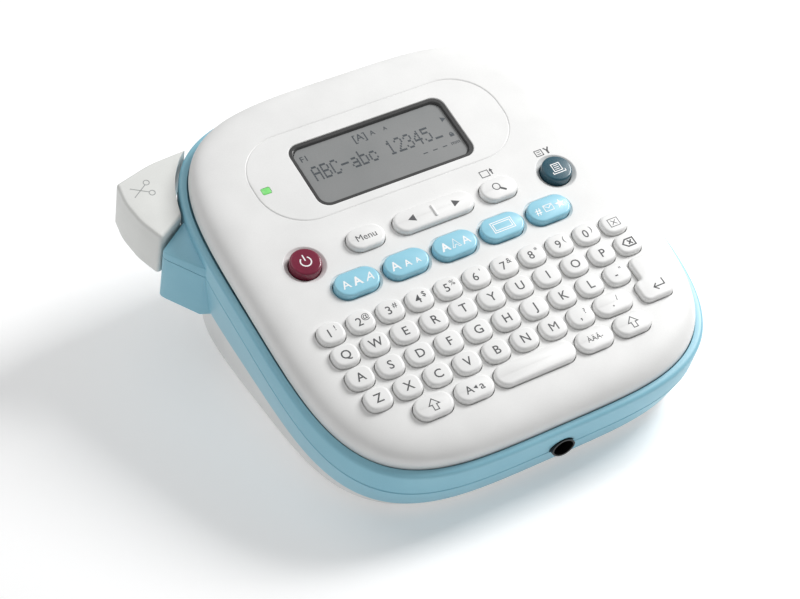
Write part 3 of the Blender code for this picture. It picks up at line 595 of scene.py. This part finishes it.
WHITE_LEVELS = shoulders(KEY_FOOT, 1.0, 0.9)
WIDE_AT = (FIRST_U + 86.7, FIRST_V - 3 * ROW_PITCH)
strips = {
    "digit_keys": list(zip("1234567890", row_places(0, 10))),
    "upper_letter_keys": list(zip("QWERTYUIOP", row_places(1, 10, 0.2))),
    "middle_letter_keys": list(zip("ASDFGHJKL-", row_places(2, 10, 0.4))),
    "lower_letter_keys": list(zip("ZXCVBNM,.", row_places(3, 8, 1.7) + [WIDE_AT])),
}
second = dict(zip("1234567890-,.", "!@#$%'&*()\"?/"))
holes = []                      # every opening that the cover needs: outline, place and kind of rim
for node, keys in strips.items():
    caps, legend = bmesh.new(), bmesh.new()
    left, right = keys[0][1][0], keys[-1][1][0]
    box((right - left + 6.0, 4.0, 1.2), ((left + right) / 2, keys[0][1][1], KEY_FOOT + 0.6), caps)
    for letter, (x, y) in keys:
        outline = bar_key(13.6, 7.7) if letter == "." else small_key()
        key_solid(caps, outline, (x, y), WHITE_LEVELS)
        holes.append((outline, (x, y), "plain"))
        if letter in second:
            lettering(legend, letter, 4.2, (x - 0.8, y - 0.1), KEY_TOP, weight=0.02)
            lettering(legend, second[letter], 2.7, (x + 1.7, y + 1.0), KEY_TOP, weight=0.01)
        else:
            lettering(legend, letter, 4.3, (x, y), KEY_TOP, weight=0.0 if letter == "M" else 0.03)
    row = piece(node + "_caps", caps, PANEL, key_abs)
    print_row = piece(node + "_print", legend, PANEL, dark_ink)
    for part in (row, print_row):
        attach(part, node + "_cap")
    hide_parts(node)

BOTTOM_V = FIRST_V - 4 * ROW_PITCH - 0.2
LAST_U = FIRST_U + 10 * KEY_PITCH
singles = [
    ("power_button", round_key(), (-46.7, 6.5), maroon_abs, white_ink, "maroon_abs"),
    ("print_button", round_key(), (46.7, 6.5), petrol_abs, white_ink, "petrol_abs"),
    ("menu_key", bar_key(13.0, 8.4), (-24.6, 7.6), key_abs, dark_ink, "key_abs"),
    ("preview_key", bar_key(13.0, 8.4), (24.6, 7.3), key_abs, dark_ink, "key_abs"),
    ("cancel_key", small_key(), (LAST_U, FIRST_V), key_abs, dark_ink, "key_abs"),
    ("backspace_key", small_key(), (LAST_U, FIRST_V - ROW_PITCH), key_abs, dark_ink, "key_abs"),
    ("enter_key", enter_key(), (LAST_U, FIRST_V - 3 * ROW_PITCH - 0.4), key_abs, dark_ink, "key_abs"),
    ("left_shift_key", bar_key(13.0, 7.7), (-36.2, BOTTOM_V), key_abs, dark_ink, "key_abs"),
    ("caps_key", bar_key(13.0, 7.7), (-21.9, BOTTOM_V), key_abs, dark_ink, "key_abs"),
    ("space_bar", bar_key(28.6, 7.7), (0.0, BOTTOM_V), key_abs, dark_ink, "key_abs"),
    ("accent_key", bar_key(13.0, 7.7), (21.9, BOTTOM_V), key_abs, dark_ink, "key_abs"),
    ("right_shift_key", bar_key(13.0, 7.7), (36.2, BOTTOM_V), key_abs, dark_ink, "key_abs"),
]
for number, name in enumerate(("font_key", "text_size_key", "text_style_key", "frame_key", "symbol_key")):
    singles.append((name, bar_key(15.2, 8.6), (17.75 * (number - 2), -6.3), blue_key_abs, white_ink,
                    "blue_abs"))


def polygon(bm, points, level=KEY_TOP):
    loft([[(x, y, z) for x, y in points] for z in (level - INK, level + INK)], bm=bm)


def rectangle(x, y, width, height):
    return [(x - width / 2, y - height / 2), (x + width / 2, y - height / 2), (x + width / 2, y + height / 2),
            (x - width / 2, y + height / 2)]


def star(x, y, radius):
    return [(x + r * math.sin(math.pi * i / 5), y + r * math.cos(math.pi * i / 5))
            for i, r in enumerate([radius, radius * 0.42] * 5)][::-1]


def shift_arrow(x, y):
    return [(x - 0.75, y - 2.0), (x + 0.75, y - 2.0), (x + 0.75, y - 0.1), (x + 1.8, y - 0.1), (x, y + 2.0),
            (x - 1.8, y - 0.1), (x - 0.75, y - 0.1)]


def draw_legend(bm, name, x, y):
    """What is printed on a key that has a word, a mark or an icon."""
    if name == "power_button":
        stroke(bm, arc((x, y - 0.1), 1.75, -232, 52), 0.42, KEY_TOP)
        stroke(bm, [(x, y + 2.5), (x, y + 0.2)], 0.42, KEY_TOP)
    elif name == "print_button":
        stroke(bm, rectangle(x, y + 0.3, 3.0, 3.0), 0.32, KEY_TOP, True)
        for line in range(3):
            stroke(bm, [(x - 0.9, y + 1.1 - 0.75 * line), (x + 0.9, y + 1.1 - 0.75 * line)], 0.28, KEY_TOP)
        stroke(bm, [(x - 2.3, y - 1.2), (x - 2.3, y - 2.0), (x + 2.3, y - 2.0), (x + 2.3, y - 1.2)],
               0.32, KEY_TOP)
    elif name == "menu_key":
        lettering(bm, "Menu", 3.3, (x, y), KEY_TOP)
    elif name == "preview_key":
        stroke(bm, arc((x - 0.6, y + 0.6), 1.25), 0.32, KEY_TOP, True)
        stroke(bm, [(x + 0.4, y - 0.35), (x + 2.0, y - 1.7)], 0.75, KEY_TOP)
    elif name == "cancel_key":
        stroke(bm, rectangle(x, y, 3.6, 3.0), 0.22, KEY_TOP, True)
        for side in (-1, 1):
            stroke(bm, [(x - 0.9, y - 0.9 * side), (x + 0.9, y + 0.9 * side)], 0.22, KEY_TOP)
    elif name == "backspace_key":
        stroke(bm, [(x + 2.1, y - 1.4), (x + 2.1, y + 1.4), (x - 0.8, y + 1.4), (x - 2.2, y),
                    (x - 0.8, y - 1.4)], 0.5, KEY_TOP, True)
        for side in (-1, 1):
            stroke(bm, [(x - 0.2, y - 0.8 * side), (x + 1.3, y + 0.8 * side)], 0.5, KEY_TOP)
    elif name == "enter_key":
        stroke(bm, [(x + 1.9, y + 2.0), (x + 1.9, y - 0.3), (x - 2.0, y - 0.3)], 0.42, KEY_TOP)
        stroke(bm, [(x - 0.8, y + 0.9), (x - 2.1, y - 0.3), (x - 0.8, y - 1.5)], 0.42, KEY_TOP)
    elif name in ("left_shift_key", "right_shift_key"):
        stroke(bm, shift_arrow(x, y), 0.3, KEY_TOP, True)
    elif name == "caps_key":
        lettering(bm, "A", 3.9, (x - 2.1, y), KEY_TOP, weight=0.02)
        lettering(bm, "a", 3.9, (x + 2.3, y), KEY_TOP, weight=0.02)
        polygon(bm, [(x + 0.75, y - 0.75), (x + 0.75, y + 0.65), (x - 0.55, y - 0.05)])
    elif name == "accent_key":
        lettering(bm, "ÀÄÂ-", 2.5, (x, y), KEY_TOP)
    elif name == "font_key":
        lettering(bm, "A", 4.2, (x - 4.0, y), KEY_TOP, weight=0.03)
        lettering(bm, "A", 4.2, (x, y), KEY_TOP, weight=0.12)
        lettering(bm, "A", 4.2, (x + 4.0, y), KEY_TOP, slant=0.35, weight=0.02)
    elif name == "text_size_key":
        for size, shift in ((4.6, -4.2), (3.4, 0.0), (2.6, 3.6)):
            lettering(bm, "A", size, (x + shift, y - 0.36 * (4.6 - size)), KEY_TOP, weight=0.05)
    elif name == "text_style_key":
        lettering(bm, "A", 4.2, (x - 3.8, y), KEY_TOP, weight=0.12)
        stroke(bm, [(x - 1.5, y - 1.5), (x, y + 1.7), (x + 1.5, y - 1.5), (x + 0.8, y - 1.5),
                    (x + 0.4, y - 0.6), (x - 0.4, y - 0.6), (x - 0.8, y - 1.5)], 0.2, KEY_TOP, True)
        lettering(bm, "A", 4.2, (x + 3.8, y), KEY_TOP, weight=0.03)
    elif name == "frame_key":
        stroke(bm, rectangle(x, y, 7.6, 3.9), 0.3, KEY_TOP, True)
        stroke(bm, rectangle(x, y, 6.2, 2.5), 0.3, KEY_TOP, True)
    elif name == "symbol_key":
        lettering(bm, "#", 3.7, (x - 4.2, y), KEY_TOP, weight=0.03)
        stroke(bm, rectangle(x - 0.2, y, 3.2, 2.4), 0.25, KEY_TOP, True)
        stroke(bm, [(x - 1.7, y + 1.1), (x - 0.2, y - 0.2), (x + 1.3, y + 1.1)], 0.25, KEY_TOP)
        polygon(bm, star(x + 4.2, y, 1.9))


for name, outline, at, finish, ink, store in singles:
    cap, legend = bmesh.new(), bmesh.new()
    levels = WHITE_LEVELS if store == "key_abs" else shoulders(KEY_FOOT, 0.75, 0.65)
    key_solid(cap, outline, at, levels)
    rim_kind = {"blue_abs": "well", "maroon_abs": "dish", "petrol_abs": "dish"}.get(store, "plain")
    holes.append((outline, at, rim_kind))
    key = piece(name + "_moulding", cap, PANEL, finish)
    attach(key, name + "_cap")
    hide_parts(name)
    draw_legend(legend, name, *at)
    if legend.verts:
        print_mark = piece(name + "_print", legend, PANEL, ink)
        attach(print_mark, name + "_cap")
    else:
        legend.free()

# The cursor key is one long bar that rocks on a rib under its middle; a raised ridge parts its two ends.
ROCKER_AT = (0.3, 7.6)
rocker_outline = bar_key(29.0, 8.4)
holes.append((rocker_outline, ROCKER_AT, "plain"))
rocker_solid = bmesh.new()
key_solid(rocker_solid, rocker_outline, ROCKER_AT, shoulders(KEY_FOOT + 0.6, 1.1, 0.9))
RIDGE_TOP = KEY_TOP + 0.45
key_solid(rocker_solid, block(0.9, 4.6, 0.42, (0, 0)), ROCKER_AT,
          shoulders(KEY_TOP - 0.6, 0.35, 0.4, RIDGE_TOP))
rocker = piece("cursor_key_moulding", rocker_solid, PANEL, key_abs)
arrows = bmesh.new()
for side in (-1, 1):
    tip = [(ROCKER_AT[0] + side * x, ROCKER_AT[1] + y) for x, y in ((7.0, -1.35), (9.6, 0.0), (7.0, 1.35))]
    polygon(arrows, tip[::side])
arrow_print = piece("cursor_key_print", arrows, PANEL, dark_ink)
for part in (rocker, arrow_print):
    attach(part, "rocker")
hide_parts("cursor_key")

# --- White top ------------------------------------------------------------------------------------------
# One pillow-shaped ABS moulding, flat in the middle and rolling over to the ledge of the blue case.  Each
# key has its own hole with a soft rim, and a fine moulded groove frames the display and the light.
PANEL_A, PANEL_B, SKIRT, WALL = 68.6, 73.6, -7.2, 1.8
PILLOW, PILLOW_POWER = 14.0, 3.1


def pillow(wall=0.0, steps=18):
    """Rings of the cover from its skirt up to the flat, set in by the wall for the inner face."""
    rings = []
    for step in range(steps + 1):
        a = math.pi / 2 * step / steps
        inset = PILLOW * (1 - max(0.0, math.cos(a)) ** (2 / PILLOW_POWER)) + wall
        w = SKIRT + (-SKIRT - wall) * math.sin(a) ** (2 / PILLOW_POWER)
        rings.append([(x, y, w) for x, y in squircle(PANEL_A - inset, PANEL_B - inset)])
    return rings


cover = piece("top_cover_moulding", loft(pillow(WALL)[::-1] + pillow()), PANEL, white_abs, 50)
HOLE_GAP = 0.25
RIMS = {                        # (growth, level) from the bottom of the hole to above the cover
    "plain": [(0.0, -6.0), (0.0, -0.3), (0.04, -0.12), (0.11, -0.03), (0.2, 0.01), (0.2, 4.0)],
    "well": [(0.0, -6.0), (0.0, -0.8), (0.12, -0.55), (0.5, -0.42), (0.66, -0.3), (0.76, -0.12), (0.95, 0.01),
             (0.95, 4.0)],
    "dish": [(0.0, -6.0), (0.0, -1.3), (0.2, -1.0), (0.7, -0.72), (1.15, -0.38), (1.45, -0.12), (1.75, 0.01),
             (1.75, 4.0)],
}
openings = bmesh.new()
for outline, at, kind in holes:
    key_solid(openings, outline, at, [(HOLE_GAP + grow, level) for grow, level in RIMS[kind]])
loft([[(x, y, z) for x, y in window(inset)] for inset, z in
      ((0.0, -6.0), (0.0, -0.3), (-0.1, -0.08), (-0.3, 0.01), (-0.3, 4.0))], bm=openings)
carve(cover, openings, PANEL, crease=50)
groove_line = rounded([(44.1, 20.4, 16.0), (44.1, 55.8, 16.0), (-48.2, 55.8, 16.0), (-48.2, 20.4, 16.0)], 16)
groove = loft([[(x, y, z) for x, y in offset(groove_line, grow)] for grow, z in
               ((0.0, -0.42), (0.42, 0.02), (0.42, 2.0), (-0.42, 2.0), (-0.42, 0.02))], True)
carve(cover, groove, PANEL, crease=50)
light_hole = [[(x, y, z) for x, y in block(3.3, 2.7, 0.55, LED_AT)] for z in (-6.0, 4.0)]
carve(cover, loft(light_hole), PANEL, crease=50)
soft = cover.modifiers.new("Weighted", "WEIGHTED_NORMAL")
soft.keep_sharp = True
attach(cover, "case")
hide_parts("top_cover")

# Two small icons are pad-printed on the cover above their keys: a strip of tape, and a page with a cutter.
icons = bmesh.new()
stroke(icons, rectangle(24.1, 14.9, 3.0, 2.4), 0.28, 0, True)
stroke(icons, [(26.7, 13.9), (26.7, 15.9)], 0.45, 0)
stroke(icons, [(26.2, 15.3), (26.7, 16.1), (27.2, 15.3)], 0.3, 0)
stroke(icons, rectangle(45.4, 15.2, 2.6, 2.3), 0.3, 0, True)
for line in range(2):
    stroke(icons, [(44.7, 15.6 - 0.8 * line), (46.1, 15.6 - 0.8 * line)], 0.25, 0)
stroke(icons, [(48.6, 13.9), (48.6, 15.3)], 0.7, 0)
for side in (-1, 1):
    stroke(icons, [(48.6, 15.1), (48.6 + 0.9 * side, 16.5)], 0.5, 0)
cover_print = piece("top_cover_print", icons, PANEL, dark_ink)
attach(cover_print, "case")

# --- Studio ---------------------------------------------------------------------------------------------
# A plain white sweep under soft light: a big soft box high on the right, a weaker one on the left, and an
# even white surround.
scene = bpy.context.scene
floor_mesh = bmesh.new()
bmesh.ops.create_grid(floor_mesh, x_segments=1, y_segments=1, size=4.0)
paper = finish_of("white_paper_sweep", "F3F3F3", "F1F1F1", 0.9, 2.0, 0.0, patch=300.0)
shader = paper.node_tree.nodes["Principled BSDF"]
shader.inputs["Emission Color"].default_value = (1, 1, 1, 1)
shader.inputs["Emission Strength"].default_value = 0.22
floor = piece("floor", floor_mesh, Matrix.Identity(4), paper)


def soft_box(name, at, size, watts, aim=(0, 0, 0.03)):
    lamp = bpy.data.lights.new(name, "AREA")
    lamp.size, lamp.energy = size, watts
    made = bpy.data.objects.new(name, lamp)
    made.location = at
    made.rotation_euler = (Vector(aim) - Vector(at)).to_track_quat("-Z", "Y").to_euler()
    scene.collection.objects.link(made)


soft_box("key_light", (0.60, 0.05, 0.54), 0.30, 6.0)
soft_box("back_light", (-0.14, 0.24, 0.50), 0.40, 0.55)
soft_box("fill_light", (-0.9, -0.25, 0.45), 0.8, 0.8)
world = bpy.data.worlds.new("surround")
scene.world = world
world.use_nodes = True
world.node_tree.nodes["Background"].inputs["Color"].default_value = (1, 1, 1, 1)
world.node_tree.nodes["Background"].inputs["Strength"].default_value = 0.31
scene.view_settings.view_transform = "Standard"

# --- Camera ---------------------------------------------------------------------------------------------
# A long lens from the front left, looking down on the panel.
AIM, DISTANCE = Vector((-0.0100, -0.0039, 0.0280)), 0.640
azimuth, elevation = math.radians(-30.7), math.radians(40.87)
back = Vector((math.sin(azimuth) * math.cos(elevation), -math.cos(azimuth) * math.cos(elevation),
               math.sin(elevation)))
lens = bpy.data.cameras.new("camera")
lens.lens, lens.sensor_width = 90.0, 36.0
camera = bpy.data.objects.new("camera", lens)
camera.location = AIM + back * DISTANCE
camera.rotation_euler = (-back).to_track_quat("-Z", "Y").to_euler()
scene.collection.objects.link(camera)
scene.camera = camera
